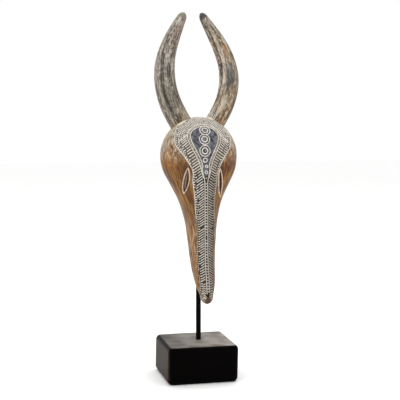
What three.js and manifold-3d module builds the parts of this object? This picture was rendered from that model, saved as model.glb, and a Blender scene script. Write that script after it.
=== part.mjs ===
// Antelope mask: a carved and painted wooden antelope head with two horns,
// held upright on a black rod that stands in a black painted block.
// Millimetres. +Z is up, the face looks along -Y, and the viewer's right is +X.
// The origin is the centre of the block's underside.

import * as THREE from 'three';
import { RoundedBoxGeometry } from 'three/addons/geometries/RoundedBoxGeometry.js';
import { mergeVertices } from 'three/addons/utils/BufferGeometryUtils.js';
import Module from 'manifold-3d';

const wasm = await Module();
wasm.setup();

// Stand
const BLOCK_SIDE = 97;
const BLOCK_HEIGHT = 50.6;
const BLOCK_EDGE_RADIUS = 4.5;
// The block was sawn a little out of square: its top lies this far to the right of its underside.
const BLOCK_LEAN = 1;
const ROD_X = 3.5;
const ROD_RADIUS = 3.5;
const ROD_DEPTH_IN_BLOCK = 24;
const ROD_TOP = 212;
const CLEARANCE = 0.3;

// Head, as level sections. A section is wide from side to side, and reaches forward
// and back from the rod's axis. A back below zero lies in front of the axis.
const SNOUT_TIP = 109;
// Below the nose the tip leans this far forward, and thins from front to back.
const TIP_FORWARD = 3.5;
const TIP_THINNING = 0.45;
const CROWN = 356.6;
const HEAD_LEVELS = [
  { at: 'nose', z: 120, halfWidth: 9.2, front: 54.5, back: -41.4 },
  { at: 'muzzle', z: 131, halfWidth: 12.5, front: 53.6, back: -28.7 },
  { at: 'mouth', z: 148, halfWidth: 15.2, front: 49.5, back: -12.1 },
  { at: 'chin', z: 164, halfWidth: 16.6, front: 45.2, back: -1.8 },
  { at: 'snout', z: 194, halfWidth: 18.9, front: 43.8, back: 8.9 },
  { at: 'bridge', z: 220, halfWidth: 22.1, front: 43.5, back: 18.7 },
  { at: 'under the eyes', z: 247, halfWidth: 30.1, front: 43.3, back: 30.6 },
  { at: 'eyes', z: 266, halfWidth: 40, front: 43, back: 34.2 },
  { at: 'cheeks', z: 284, halfWidth: 49.2, front: 42, back: 35.8 },
  { at: 'widest', z: 304, halfWidth: 52.9, front: 40, back: 37.5 },
];
const NOSE = HEAD_LEVELS[0];
const WIDEST = HEAD_LEVELS[HEAD_LEVELS.length - 1];
// A section is an ellipse at the crown and squarer, with this exponent, on the snout.
const SNOUT_SQUARENESS = 2.25;
const ELLIPSE = 2;
const SQUARE_BELOW = 247;

// Eyes: long upright almonds, each with a raised rim round a shallow recess.
const EYES = [
  { offset: -25, z: 272.3, halfHeight: 16.6, halfWidth: 3.1, lean: -0.13 },
  { offset: 21, z: 269, halfHeight: 18.5, halfWidth: 2.7, lean: 0.02 },
];
const EYE_RIM_WIDTH = 1.8;
const EYE_RIM_HEIGHT = 1;
const EYE_DEPTH = 2.6;
const EYEBALL_BULGE = 1.5;

// Nose: a small forked notch above the tip.
const NOSTRIL_Z = 119.2;
const NOSTRIL_LENGTH = 6.5;
const NOSTRIL_WIDTH = 1.6;
const NOSTRIL_DEPTH = 1.5;
const NOSTRIL_SPREAD = THREE.MathUtils.degToRad(38);

// Horns: both follow one curve, mirrored about the rod's axis. They rise outward from the
// crown, bend in towards each other and sweep back.
const HORN_ROOT = [19.6, 5.4, 342];
const HORN_RISE = [66.9, -4.4, 411.4];
const HORN_BEND = [38.4, 26.6, 450];
const HORN_TIP = [11.5, 35, 499.3];
const HORN_TIP_BLUNTNESS = 0.045;
const HORNS = [
  { name: 'left_horn', side: -1, thickness: 31, taper: 0.64, taperPower: 2.6, groove: [12, 57] },
  { name: 'right_horn', side: 1, thickness: 27.6, taper: 0.67, taperPower: 3.4, groove: [95, 25] },
];
// A long shallow groove winds slowly round each horn. At the root and at the tip it is
// turned this many degrees from the front towards the viewer's left.
const GROOVE_DEPTH = 1.3;
const GROOVE_HALF_ANGLE = THREE.MathUtils.degToRad(9);
const GROOVE_START = 0.1;
const GROOVE_END = 0.88;

// Fineness of the faceted surfaces
const HEAD_SIDES = 48;
const HEAD_RINGS = 24;
const CAP_RINGS = 6;
const DOME_RINGS = 10;
const HORN_SIDES = 20;
const HORN_RINGS = 22;
const HORN_TIP_RINGS = 5;
const EYE_RINGS = 16;
const EYE_COLUMNS = 8;
const ROUND_SIDES = 24;

const MATERIALS = {
  base: { color: 0x141312, roughness: 0.42, metalness: 0 },
  rod: { color: 0x121212, roughness: 0.4, metalness: 0.2 },
  head: { color: 0x8f6a42, roughness: 0.65, metalness: 0 },
  left_horn: { color: 0x7d7367, roughness: 0.7, metalness: 0 },
  right_horn: { color: 0x857861, roughness: 0.7, metalness: 0 },
};

// A smooth curve through one named size of the head's sections, read at height z.
function headSize(key, z) {
  const last = HEAD_LEVELS.length - 1;
  const slopeOver = (i) => {
    const rise = HEAD_LEVELS[i + 1][key] - HEAD_LEVELS[i][key];
    return rise / (HEAD_LEVELS[i + 1].z - HEAD_LEVELS[i].z);
  };
  const slopeAt = (i) => {
    if (i === 0) return slopeOver(0);
    if (i === last) return 0;
    const below = HEAD_LEVELS[i].z - HEAD_LEVELS[i - 1].z;
    const above = HEAD_LEVELS[i + 1].z - HEAD_LEVELS[i].z;
    return (slopeOver(i - 1) * above + slopeOver(i) * below) / (below + above);
  };
  let i = 0;
  while (i < last - 1 && z > HEAD_LEVELS[i + 1].z) i += 1;
  const low = HEAD_LEVELS[i];
  const high = HEAD_LEVELS[i + 1];
  const span = high.z - low.z;
  const t = THREE.MathUtils.clamp((z - low.z) / span, 0, 1);
  const rising = t * t * (3 - 2 * t);
  const bendLow = span * slopeAt(i) * t * (1 - t) * (1 - t);
  const bendHigh = span * slopeAt(i + 1) * t * t * (t - 1);
  return low[key] + (high[key] - low[key]) * rising + bendLow + bendHigh;
}

// The head's section at height z. Below the nose and above the widest level it closes
// like an ellipsoid, which rounds the tip and the crown.
function headSection(z, grow = 0) {
  const level = THREE.MathUtils.clamp(z, NOSE.z, WIDEST.z);
  const front = headSize('front', level);
  const back = headSize('back', level);
  const above = Math.max(0, (z - WIDEST.z) / (CROWN + grow - WIDEST.z));
  const below = Math.max(0, (NOSE.z - z) / (NOSE.z - SNOUT_TIP + grow));
  const past = Math.min(Math.max(above, below), 1);
  const closing = Math.sqrt(1 - past * past);
  const upward = THREE.MathUtils.clamp((z - SQUARE_BELOW) / (WIDEST.z - SQUARE_BELOW), 0, 1);
  return {
    halfWidth: (headSize('halfWidth', level) + grow) * closing,
    halfDepth: ((back + front) / 2 + grow) * closing * (1 - TIP_THINNING * below),
    middleY: (back - front) / 2 - TIP_FORWARD * below,
    exponent: THREE.MathUtils.lerp(SNOUT_SQUARENESS, ELLIPSE, upward),
  };
}

function signedPower(value, power) {
  return Math.sign(value) * Math.abs(value) ** power;
}

// One ring of the head's surface at height z.
function headRing(z, grow) {
  const { halfWidth, halfDepth, middleY, exponent } = headSection(z, grow);
  const ring = [];
  for (let k = 0; k < HEAD_SIDES; k += 1) {
    const turn = (2 * Math.PI * k) / HEAD_SIDES;
    const x = halfWidth * signedPower(Math.cos(turn), 2 / exponent);
    const y = halfDepth * signedPower(Math.sin(turn), 2 / exponent);
    ring.push(new THREE.Vector3(ROD_X + x, middleY + y, z));
  }
  return ring;
}

// The point of the head's front at height z, this far to the right of its middle.
function faceAt(offset, z) {
  const { halfWidth, halfDepth, middleY, exponent } = headSection(z);
  const across = Math.min(Math.abs(offset) / halfWidth, 1);
  const forward = halfDepth * (1 - across ** exponent) ** (1 / exponent);
  return new THREE.Vector3(ROD_X + offset, middleY - forward, z);
}

// The outward direction of the head's front there.
function faceNormal(offset, z) {
  const step = 0.5;
  const across = faceAt(offset + step, z).sub(faceAt(offset - step, z));
  const up = faceAt(offset, z + step).sub(faceAt(offset, z - step));
  return across.cross(up).normalize();
}

// A closed body over a row of rings that run anticlockwise about the way from start to end,
// and that close on one point at each end.
function loft(start, rings, end) {
  const points = [start, ...rings.flat(), end];
  const sides = rings[0].length;
  const faces = [];
  for (let k = 0; k < sides; k += 1) {
    const next = (k + 1) % sides;
    faces.push(0, 1 + next, 1 + k);
    for (let r = 0; r < rings.length - 1; r += 1) {
      const here = 1 + r * sides;
      const above = here + sides;
      faces.push(here + k, here + next, above + next);
      faces.push(here + k, above + next, above + k);
    }
    const top = 1 + (rings.length - 1) * sides;
    faces.push(top + k, top + next, points.length - 1);
  }
  const geometry = new THREE.BufferGeometry().setFromPoints(points);
  geometry.setIndex(faces);
  return geometry;
}

function toSolid(geometry) {
  const bare = geometry.clone();
  bare.deleteAttribute('normal');
  bare.deleteAttribute('uv');
  const merged = mergeVertices(bare);
  const vertProperties = new Float32Array(merged.attributes.position.array);
  const triVerts = new Uint32Array(merged.index.array);
  return new wasm.Manifold(new wasm.Mesh({ numProp: 3, vertProperties, triVerts }));
}

function toGeometry(solid) {
  const mesh = solid.getMesh();
  const geometry = new THREE.BufferGeometry();
  geometry.setAttribute('position', new THREE.BufferAttribute(mesh.vertProperties, 3));
  geometry.setIndex(new THREE.BufferAttribute(mesh.triVerts, 1));
  geometry.computeVertexNormals();
  return geometry;
}

// An upright cylinder about the rod's axis.
function rodCylinder(radius, bottom, top) {
  const geometry = new THREE.CylinderGeometry(radius, radius, top - bottom, ROUND_SIDES);
  geometry.rotateX(Math.PI / 2);
  geometry.translate(ROD_X, 0, (bottom + top) / 2);
  return geometry;
}

function rodHole(bottom, top) {
  return toSolid(rodCylinder(ROD_RADIUS + CLEARANCE, bottom, top));
}

function blockGeometry() {
  const edgeSteps = 3;
  const box = new RoundedBoxGeometry(
    BLOCK_SIDE, BLOCK_SIDE, BLOCK_HEIGHT, edgeSteps, BLOCK_EDGE_RADIUS);
  box.applyMatrix4(new THREE.Matrix4().makeShear(0, 0, 0, 0, BLOCK_LEAN / BLOCK_HEIGHT, 0));
  box.translate(0, 0, BLOCK_HEIGHT / 2);
  const seat = BLOCK_HEIGHT - ROD_DEPTH_IN_BLOCK - CLEARANCE;
  return toGeometry(toSolid(box).subtract(rodHole(seat, BLOCK_HEIGHT + BLOCK_EDGE_RADIUS)));
}

function plainHead(grow) {
  const tip = SNOUT_TIP - grow;
  const crown = CROWN + grow;
  const heights = [];
  for (let k = 1; k <= CAP_RINGS; k += 1) {
    const turn = (Math.PI / 2) * (k / CAP_RINGS);
    heights.push(NOSE.z - (NOSE.z - tip) * Math.cos(turn));
  }
  for (let k = 1; k <= HEAD_RINGS; k += 1) {
    heights.push(NOSE.z + (WIDEST.z - NOSE.z) * (k / HEAD_RINGS));
  }
  for (let k = 1; k < DOME_RINGS; k += 1) {
    const turn = (Math.PI / 2) * (k / DOME_RINGS);
    heights.push(WIDEST.z + (crown - WIDEST.z) * Math.sin(turn));
  }
  const rings = heights.map((z) => headRing(z, grow));
  const tipPoint = new THREE.Vector3(ROD_X, headSection(tip, grow).middleY, tip);
  const crownPoint = new THREE.Vector3(ROD_X, headSection(crown, grow).middleY, crown);
  return toSolid(loft(tipPoint, rings, crownPoint));
}

// A pointed almond that stands on the face: raise and sink give its height above the
// surface and its depth below it, across from -1 to 1 and along from -1 to 1.
function almond(eye, extra, raise, sink) {
  const halfHeight = eye.halfHeight + extra;
  const halfWidth = eye.halfWidth + extra;
  const lift = (along, across, height) => {
    const side = across * halfWidth * (1 - along * along);
    const z = eye.z + along * halfHeight;
    const offset = eye.offset + side - eye.lean * along * halfHeight;
    return faceAt(offset, z).addScaledVector(faceNormal(offset, z), height);
  };
  const rings = [];
  for (let r = 1; r < EYE_RINGS; r += 1) {
    const along = -Math.cos((Math.PI * r) / EYE_RINGS);
    const ring = [];
    for (let c = 0; c <= EYE_COLUMNS; c += 1) {
      const across = (2 * c) / EYE_COLUMNS - 1;
      ring.push(lift(along, across, raise(along, across)));
    }
    for (let c = EYE_COLUMNS; c >= 0; c -= 1) {
      const across = (2 * c) / EYE_COLUMNS - 1;
      ring.push(lift(along, across, -sink(along, across)));
    }
    rings.push(ring);
  }
  return toSolid(loft(lift(-1, 0, 0), rings, lift(1, 0, 0)));
}

function eyeRim(eye) {
  const rounded = (along, across) => EYE_RIM_HEIGHT * Math.sqrt(1 - across ** 4 * 0.9);
  return almond(eye, EYE_RIM_WIDTH, rounded, () => EYE_DEPTH / 2);
}

function eyeRecess(eye) {
  const above = 2 * EYE_RIM_HEIGHT;
  const depth = (along, across) => {
    const ball = EYEBALL_BULGE * (1 - across * across) * (1 - along * along);
    return EYE_DEPTH * (1 - along ** 6) - ball;
  };
  return almond(eye, 0, () => above, depth);
}

// One arm of the nose's forked notch: a slim ellipsoid let into the face, leaning outward
// from the point where the two arms meet.
function nostrilArm(side) {
  const arm = new THREE.SphereGeometry(1, 10, 8);
  arm.scale(NOSTRIL_WIDTH / 2, NOSTRIL_DEPTH, NOSTRIL_LENGTH / 2);
  arm.rotateY(side * NOSTRIL_SPREAD);
  const reach = NOSTRIL_LENGTH / 2 - NOSTRIL_WIDTH / 2;
  const offset = side * Math.sin(NOSTRIL_SPREAD) * reach;
  const place = faceAt(offset, NOSTRIL_Z + Math.cos(NOSTRIL_SPREAD) * reach);
  arm.translate(place.x, place.y, place.z);
  return toSolid(arm);
}

function headGeometry() {
  let solid = plainHead(0);
  for (const eye of EYES) solid = solid.add(eyeRim(eye)).subtract(eyeRecess(eye));
  for (const side of [-1, 1]) solid = solid.subtract(nostrilArm(side));
  return toGeometry(solid.subtract(rodHole(SNOUT_TIP, ROD_TOP + CLEARANCE)));
}

// How deep the horn's groove is, this far along the horn and this far round from its middle.
function grooveAt(along, turn) {
  if (along < GROOVE_START || along > GROOVE_END || turn > GROOVE_HALF_ANGLE) return 0;
  const run = (along - GROOVE_START) / (GROOVE_END - GROOVE_START);
  return GROOVE_DEPTH * Math.sin(Math.PI * run) ** 0.5 * (1 - turn / GROOVE_HALF_ANGLE);
}

// The turns at which a horn's section has its points: even all round, with three more
// where the groove's two edges and its bottom run.
function hornTurns(grooveTurn) {
  const turns = [];
  const step = (2 * Math.PI) / HORN_SIDES;
  for (let k = 1; k < HORN_SIDES; k += 1) turns.push(grooveTurn + k * step);
  turns.push(grooveTurn + 2 * Math.PI - GROOVE_HALF_ANGLE);
  turns.push(grooveTurn + 2 * Math.PI);
  turns.push(grooveTurn + 2 * Math.PI + GROOVE_HALF_ANGLE);
  return turns;
}

// A horn's radius along its length: it thins towards the tip, which is blunt and round.
function hornRadius(horn, along) {
  const taper = (horn.thickness / 2) * (1 - horn.taper * along ** horn.taperPower);
  const past = Math.max(0, (along - 1 + HORN_TIP_BLUNTNESS) / HORN_TIP_BLUNTNESS);
  return taper * Math.sqrt(1 - past * past);
}

function hornGeometry(horn) {
  const place = ([out, back, z]) => new THREE.Vector3(ROD_X + horn.side * out, back, z);
  const corners = [HORN_ROOT, HORN_RISE, HORN_BEND, HORN_TIP].map(place);
  const curve = new THREE.CubicBezierCurve3(...corners);
  const shaft = 1 - HORN_TIP_BLUNTNESS;
  const alongs = [];
  for (let r = 0; r <= HORN_RINGS; r += 1) alongs.push((r / HORN_RINGS) * shaft);
  for (let r = 1; r < HORN_TIP_RINGS; r += 1) {
    const turn = (Math.PI / 2) * (r / HORN_TIP_RINGS);
    alongs.push(shaft + HORN_TIP_BLUNTNESS * Math.sin(turn));
  }
  const rings = [];
  for (const along of alongs) {
    const centre = curve.getPointAt(along);
    const way = curve.getTangentAt(along);
    const front = new THREE.Vector3(0, -1, 0).addScaledVector(way, way.y).normalize();
    const left = new THREE.Vector3().crossVectors(front, way);
    const grooveTurn = THREE.MathUtils.degToRad(THREE.MathUtils.lerp(...horn.groove, along));
    const ring = hornTurns(grooveTurn).map((turn) => {
      const fromGroove = Math.abs(turn - grooveTurn - 2 * Math.PI);
      const radius = hornRadius(horn, along) - grooveAt(along, fromGroove);
      const point = centre.clone().addScaledVector(front, radius * Math.cos(turn));
      return point.addScaledVector(left, radius * Math.sin(turn));
    });
    rings.push(ring.reverse());
  }
  const solid = toSolid(loft(curve.getPointAt(0), rings, curve.getPointAt(1)));
  return toGeometry(solid.subtract(plainHead(CLEARANCE)));
}

const group = new THREE.Group();

function addPiece(name, geometry) {
  const piece = new THREE.Mesh(geometry, new THREE.MeshStandardMaterial(MATERIALS[name]));
  piece.name = name;
  group.add(piece);
}

addPiece('base', blockGeometry());
addPiece('rod', rodCylinder(ROD_RADIUS, BLOCK_HEIGHT - ROD_DEPTH_IN_BLOCK, ROD_TOP));
addPiece('head', headGeometry());
for (const horn of HORNS) addPiece(horn.name, hornGeometry(horn));

export default group;
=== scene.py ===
# Antelope mask on a rod and block: the dressed model, its finishes, lights and camera.
# Shapes are worked out in millimetres and turned to metres where a mesh is made.

import math

import bpy
import numpy as np
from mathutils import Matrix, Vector


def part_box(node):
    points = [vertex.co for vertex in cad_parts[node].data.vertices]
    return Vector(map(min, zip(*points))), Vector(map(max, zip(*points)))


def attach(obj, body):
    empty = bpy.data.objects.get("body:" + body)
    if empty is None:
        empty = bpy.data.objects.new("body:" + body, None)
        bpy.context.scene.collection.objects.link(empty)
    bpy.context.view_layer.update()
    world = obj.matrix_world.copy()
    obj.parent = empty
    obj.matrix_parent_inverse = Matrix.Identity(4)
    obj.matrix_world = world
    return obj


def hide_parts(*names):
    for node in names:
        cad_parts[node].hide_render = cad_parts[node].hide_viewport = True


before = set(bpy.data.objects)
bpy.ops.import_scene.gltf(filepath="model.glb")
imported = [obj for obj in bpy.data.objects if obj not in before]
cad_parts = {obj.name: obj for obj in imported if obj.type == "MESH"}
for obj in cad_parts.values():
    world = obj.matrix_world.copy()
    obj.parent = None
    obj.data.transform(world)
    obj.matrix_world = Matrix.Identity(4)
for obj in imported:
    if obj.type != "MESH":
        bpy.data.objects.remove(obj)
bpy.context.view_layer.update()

MM = 0.001
BODY = "root"
# One fixed run of random numbers for how the slanting strokes lie and break up
RNG = np.random.default_rng(7)

# The stand, as the frame gives it. The block's sides lean a little to the viewer's right.
block_low, block_high = [np.array(corner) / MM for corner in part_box("base")]
rod_low, rod_high = [np.array(corner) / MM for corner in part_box("rod")]
BLOCK_TOP = block_high[2]
BLOCK_EDGE_RADIUS = 6.5
BLOCK_LEAN = 1.0
BLOCK_WAVE = 0.1
ROD_X = (rod_low[0] + rod_high[0]) / 2
ROD_RADIUS = (rod_high[0] - rod_low[0]) / 2

# The head's level sections: height, half width, reach forward and reach back of the rod's axis
head_low, head_high = [np.array(corner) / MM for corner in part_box("head")]
SNOUT_TIP = head_low[2]
CROWN = head_high[2]
TIP_FORWARD = 3.5
TIP_THINNING = 0.45
HEAD_LEVELS = np.array([
    (120, 9.2, 54.5, -41.4),
    (131, 12.5, 53.6, -28.7),
    (148, 15.2, 49.5, -12.1),
    (164, 16.6, 45.2, -1.8),
    (194, 18.9, 43.8, 8.9),
    (220, 22.1, 43.5, 18.7),
    (247, 30.1, 43.3, 30.6),
    (266, 40.0, 43.0, 34.2),
    (284, 49.2, 42.0, 35.8),
    (304, 52.9, 40.0, 37.5),
])
NOSE = HEAD_LEVELS[0][0]
WIDEST = HEAD_LEVELS[-1][0]
# How square a level section is: 2 is an ellipse. It rounds out from this height up.
SNOUT_SQUARENESS = 2.25
ELLIPSE = 2.0
SQUARE_BELOW = 247
# Millimetres of face height for each radian over the crown
CROWN_ARC = 50.0
# The slight waves left by the knife, and the radius at which the grain's streaks are measured
CARVING_WAVE = 0.1
FLOW_SIZE = 40

# Eyes: offset from the middle, height, half height, half width and lean
EYES = [(-25.0, 272.3, 16.6, 3.1, -0.13), (21.0, 269.0, 18.5, 2.7, 0.02)]
EYE_DEPTH = 2.6
EYEBALL_BULGE = 1.5
RIM_RADIUS = 0.85

# The nose's forked notch
NOTCH_Z = 119.2
NOTCH_LENGTH = 6.5
NOTCH_WIDTH = 1.6
NOTCH_DEPTH = 1.4
NOTCH_SPREAD = math.radians(38)
# Its two stained lines: where each ends, from the notch's foot, and its half width
NOSE_MARKS = [((-4.6, 4.0), 0.95), ((0.5, 6.4), 1.35)]
NOSE_MIDDLE = 0.8
# The bare brown patch under the notch: how far down its middle is, and how slender it is
BARE_TIP_DROP = 5.6
BARE_TIP_SLENDERNESS = 0.85

# Horns: thickness at the root, share of it lost by the tip and by which power of the way along, the
# groove's turn in degrees at the root and the tip, the pale ridge's turn beside it in radians, and
# the turn where the filler at the joint is fullest
HORN_CURVE = [(19.6, 5.4, 342), (66.9, -4.4, 411.4), (38.4, 26.6, 450), (11.5, 35, 499.3)]
HORN_BLUNTNESS = 0.045
HORNS = {
    "left_horn": dict(
        side=-1, thickness=31.0, taper=0.64, power=2.6, groove=(12, 57), ridge=-0.34, filled=0.1),
    "right_horn": dict(
        side=1, thickness=27.6, taper=0.67, power=3.4, groove=(95, 25), ridge=0.36, filled=0.9),
}
# The dressed horn stops this share of the way along, just inside the form's own tip.
HORN_END = 0.998
# The long groove: its depth, half its turn round the horn, where along it starts and how far it runs
GROOVE_DEPTH = 1.3
GROOVE_HALF_ANGLE = math.radians(9)
GROOVE_FROM = 0.1
GROOVE_RUN = 0.78
# How many marks the rasp leaves round a horn, and the horn's radius at which they are full depth
RASP_MARKS = 24
RASP_RADIUS = 14

# The painted pattern, in face millimetres: across from its own middle, and up the face
PATTERN_MIDDLE = 0.85
PATTERN_FOOT = 117
BAND_SNOUT = 12.3
BAND_BROW = 4.0
BAND_FLARE = 23.1
LEFT_FULLNESS = 3.2
# From the first height up the band closes in an arch over the crown, which reaches this much higher.
BAND_ARCH_FOOT = 335
BAND_ARCH = 60
# The dark teardrop field: half a stripe on the snout, its neck and its flare
FIELD_STRIPE = 1.65
FIELD_NECK = 2.4
FIELD_FLARE = 15.1
FIELD_WIDEST = FIELD_STRIPE + FIELD_NECK + FIELD_FLARE
FIELD_FOOT = 279
FIELD_CENTRE = 333.0
FIELD_TOP = 14.5
FIELD_INSET = 0.9
LINE_GAP = 3.8
# The band's border is a line with a row of rungs inside it. Under its foot the line is dabs.
BORDER_WIDTH = 3.7
BORDER_INSET = 0.9
SNOUT_BORDER_INSET = 0.55
BORDER_FOOT = 222
RUNG_INSET = 2.7
RUNG_PITCH = 3.3
# The real strokes lie about 3 mm apart and are finer. They are drawn a tenth coarser, to show.
STROKE_PITCH = 3.3
STROKE_STEP = 0.5
STROKES_FOOT = 114
ROWS_TOP = 339.0
STROKE_SLANT = math.radians(35)
TIP_SLANT = math.radians(-40)
CROWN_ROW_PITCH = 3.0
MIDDLE_HALF = 1.9
MIDDLE_FOOT = 125
# Double rings, and single ones with their radius, down the field
RING_CENTRES = [(1.0, 340.6), (-0.8, 327.0), (-1.0, 311.6)]
RING_OUTER = 7.0
RING_INNER = 3.8
SMALL_RINGS = [(-0.8, 299.6, 2.7), (0.7, 291.6, 1.6), (0.2, 283.4, 1.9)]
# Rust-red stains on the cheeks: centre and size
RUST_SPOTS = [((ROD_X - 42, -10, 291), (10, 60, 15)), ((ROD_X + 37, -10, 303), (8, 60, 12))]
# The paint's top lies on the carved form and the wood under it this much lower.
PAINT_DEPTH = 0.3
PAINT_THICKNESS = 1.6 * PAINT_DEPTH


def srgb(text):
    """A six-digit sRGB hex colour as linear red, green, blue and alpha."""
    parts = [int(text[i : i + 2], 16) / 255 for i in (0, 2, 4)]
    line = [c / 12.92 if c <= 0.04045 else ((c + 0.055) / 1.055) ** 2.4 for c in parts]
    return (*line, 1.0)


def smooth(low, high, value):
    t = np.clip((np.asarray(value, float) - low) / (high - low), 0, 1)
    return t * t * (3 - 2 * t)


# Head form


def head_sizes(z):
    """Half width, front and back of the head at heights z, by a smooth curve through the levels."""
    heights = HEAD_LEVELS[:, 0]
    sizes = HEAD_LEVELS[:, 1:]
    gaps = np.diff(heights)[:, None]
    slopes = np.diff(sizes, axis=0) / gaps
    tangents = np.empty_like(sizes)
    tangents[0] = slopes[0]
    tangents[-1] = 0
    total = gaps[:-1] + gaps[1:]
    tangents[1:-1] = (slopes[:-1] * gaps[1:] + slopes[1:] * gaps[:-1]) / total
    i = np.clip(np.searchsorted(heights, z) - 1, 0, len(heights) - 2)
    gap = gaps[i]
    t = ((z - heights[i]) / gap[..., 0])[..., None]
    rising = t * t * (3 - 2 * t)
    low = gap * tangents[i] * t * (1 - t) ** 2
    high = gap * tangents[i + 1] * t * t * (t - 1)
    return sizes[i] + (sizes[i + 1] - sizes[i]) * rising + low + high


def head_section(z):
    z = np.asarray(z, float)
    half, front, back = np.moveaxis(head_sizes(np.clip(z, NOSE, WIDEST)), -1, 0)
    above = np.maximum(0, (z - WIDEST) / (CROWN - WIDEST))
    below = np.maximum(0, (NOSE - z) / (NOSE - SNOUT_TIP))
    closing = np.sqrt(np.clip(1 - np.maximum(above, below) ** 2, 0, 1))
    upward = np.clip((z - SQUARE_BELOW) / (WIDEST - SQUARE_BELOW), 0, 1)
    depth = (back + front) / 2 * closing * (1 - TIP_THINNING * below)
    middle = (back - front) / 2 - TIP_FORWARD * below
    squareness = SNOUT_SQUARENESS + (ELLIPSE - SNOUT_SQUARENESS) * upward
    return half * closing, depth, middle, squareness


def face_at(across, up):
    """Points on the front of the head. Above the widest level, up goes on over the crown."""
    across = np.asarray(across, float)
    up = np.asarray(up, float)
    half, depth, middle, squareness = head_section(np.minimum(up, WIDEST))
    share = np.clip(np.abs(across) / np.maximum(half, 1e-6), 0, 1)
    forward = depth * (1 - share**squareness) ** (1 / squareness)
    over = np.maximum(0, up - WIDEST) / CROWN_ARC
    y = middle - forward * np.cos(over)
    z = np.where(up > WIDEST, WIDEST + (CROWN - WIDEST) * forward / depth * np.sin(over), up)
    return np.stack([ROD_X + across, y, z], -1)


def face_normal(across, up):
    step = 0.4
    across = np.asarray(across, float)
    up = np.asarray(up, float)
    side = face_at(across + step, up) - face_at(across - step, up)
    rise = face_at(across, up + step) - face_at(across, up - step)
    normal = np.cross(side, rise)
    return normal / np.linalg.norm(normal, axis=-1, keepdims=True)


# Painted pattern's outlines


def band_half(up, side=0):
    """Half width of the patterned band at face height up. It is fuller to the viewer's left, side -1."""
    up = np.asarray(up, float)
    left = np.asarray(side) < 0
    narrow = 4.2 * (np.maximum(0, 190 - up) / 70) ** 1.3 * np.where(left, 0.5, 1.0)
    fuller = LEFT_FULLNESS * smooth(205, 240, up) * smooth(290, 270, up) * left
    below = BAND_SNOUT + BAND_BROW * smooth(238, 285, up) + BAND_FLARE * smooth(276, 330, up)
    below = below + fuller - narrow
    arch = 1 - ((up - BAND_ARCH_FOOT) / BAND_ARCH) ** 2
    above = (BAND_SNOUT + BAND_BROW + BAND_FLARE) * np.sqrt(np.clip(arch, 0, 1))
    return np.where(up > BAND_ARCH_FOOT, above, below)


def field_half(up):
    """Half width of the dark teardrop field, with the stripe that runs from it down the snout."""
    up = np.asarray(up, float)
    neck = FIELD_STRIPE + FIELD_NECK * smooth(252, 288, up)
    below = neck + FIELD_FLARE * smooth(288, FIELD_CENTRE, up)
    arch = 1 - ((up - FIELD_CENTRE) / FIELD_TOP) ** 2
    return np.where(up > FIELD_CENTRE, FIELD_WIDEST * np.sqrt(np.clip(arch, 0, 1)), below)


def border_gap(up):
    """From the field's own line out to its second line."""
    return LINE_GAP * smooth(268, 300, up)


def middle_half(up):
    """Half the gap between the two middle lines: narrow on the snout, parting round the field's tip."""
    return MIDDLE_HALF + 3.15 * smooth(268, 290, up)


# Mesh helpers


def make_object(name, points, faces):
    """A mesh object at the origin from points in millimetres."""
    mesh = bpy.data.meshes.new(name)
    mesh.from_pydata((np.asarray(points) * MM).tolist(), [], faces)
    mesh.update()
    mesh.shade_smooth()
    piece = bpy.data.objects.new(name, mesh)
    bpy.context.scene.collection.objects.link(piece)
    return piece


def grid_faces(rows, columns, closed_rows=False):
    """Faces over rings of points, each ring closed. The rings may close on each other too."""
    faces = []
    for r in range(rows if closed_rows else rows - 1):
        here, above = r * columns, ((r + 1) % rows) * columns
        for k in range(columns):
            n = (k + 1) % columns
            faces.append((here + k, here + n, above + n, above + k))
    return faces


def loft(rings, start, end):
    """Points and faces of a closed body over rings, with a point at each end."""
    rows, columns = len(rings), len(rings[0])
    points = np.concatenate([np.concatenate(rings), [start], [end]])
    faces = grid_faces(rows, columns)
    last = (rows - 1) * columns
    for k in range(columns):
        n = (k + 1) % columns
        faces.append((k, rows * columns, n))
        faces.append((last + k, last + n, rows * columns + 1))
    return points, faces


def add_attribute(piece, name, values, kind="FLOAT"):
    layer = piece.data.attributes.new(name, kind, "POINT")
    key = "value" if kind == "FLOAT" else "vector"
    layer.data.foreach_set(key, np.asarray(values, np.float32).ravel())


def waves(points, lengths, seed):
    """Smooth unevenness from a few sine waves, about -1 to 1."""
    rng = np.random.default_rng(seed)
    total = np.zeros(len(points))
    for _ in range(6):
        way = rng.normal(size=3)
        way /= np.linalg.norm(way)
        phase = rng.uniform(0, 2 * math.pi)
        total += np.sin(2 * math.pi * (points / lengths) @ way + phase)
    return total / 4


def finish_piece(piece, material, node=None):
    piece.data.materials.clear()
    piece.data.materials.append(material)
    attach(piece, BODY)
    if node:
        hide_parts(node)
    return piece


# Materials


def feed(tree, socket, value):
    """Links a socket to another node's output, or sets it to a number or a hex colour."""
    if isinstance(value, bpy.types.NodeSocket):
        tree.links.new(value, socket)
    else:
        socket.default_value = srgb(value) if isinstance(value, str) else value


def add_node(tree, kind, settings=None, links=None):
    """A node with its own settings, its constant inputs and its links from other nodes' outputs."""
    node = tree.nodes.new(kind)
    for key, value in (settings or {}).items():
        if isinstance(key, str) and hasattr(node, key):
            setattr(node, key, value)
        else:
            node.inputs[key].default_value = value
    for key, value in (links or {}).items():
        feed(tree, node.inputs[key], value)
    return node


def new_material(name):
    material = bpy.data.materials.new(name)
    material.use_nodes = True
    tree = material.node_tree
    return material, tree, tree.nodes["Principled BSDF"]


def on_object(tree):
    """Places in millimetres from the object's origin, and each of their three parts."""
    place = add_node(tree, "ShaderNodeTexCoord").outputs["Object"]
    place = add_node(tree, "ShaderNodeVectorMath", {"operation": "SCALE", 3: 1 / MM}, {0: place}).outputs[0]
    return place, add_node(tree, "ShaderNodeSeparateXYZ", None, {0: place}).outputs


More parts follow.
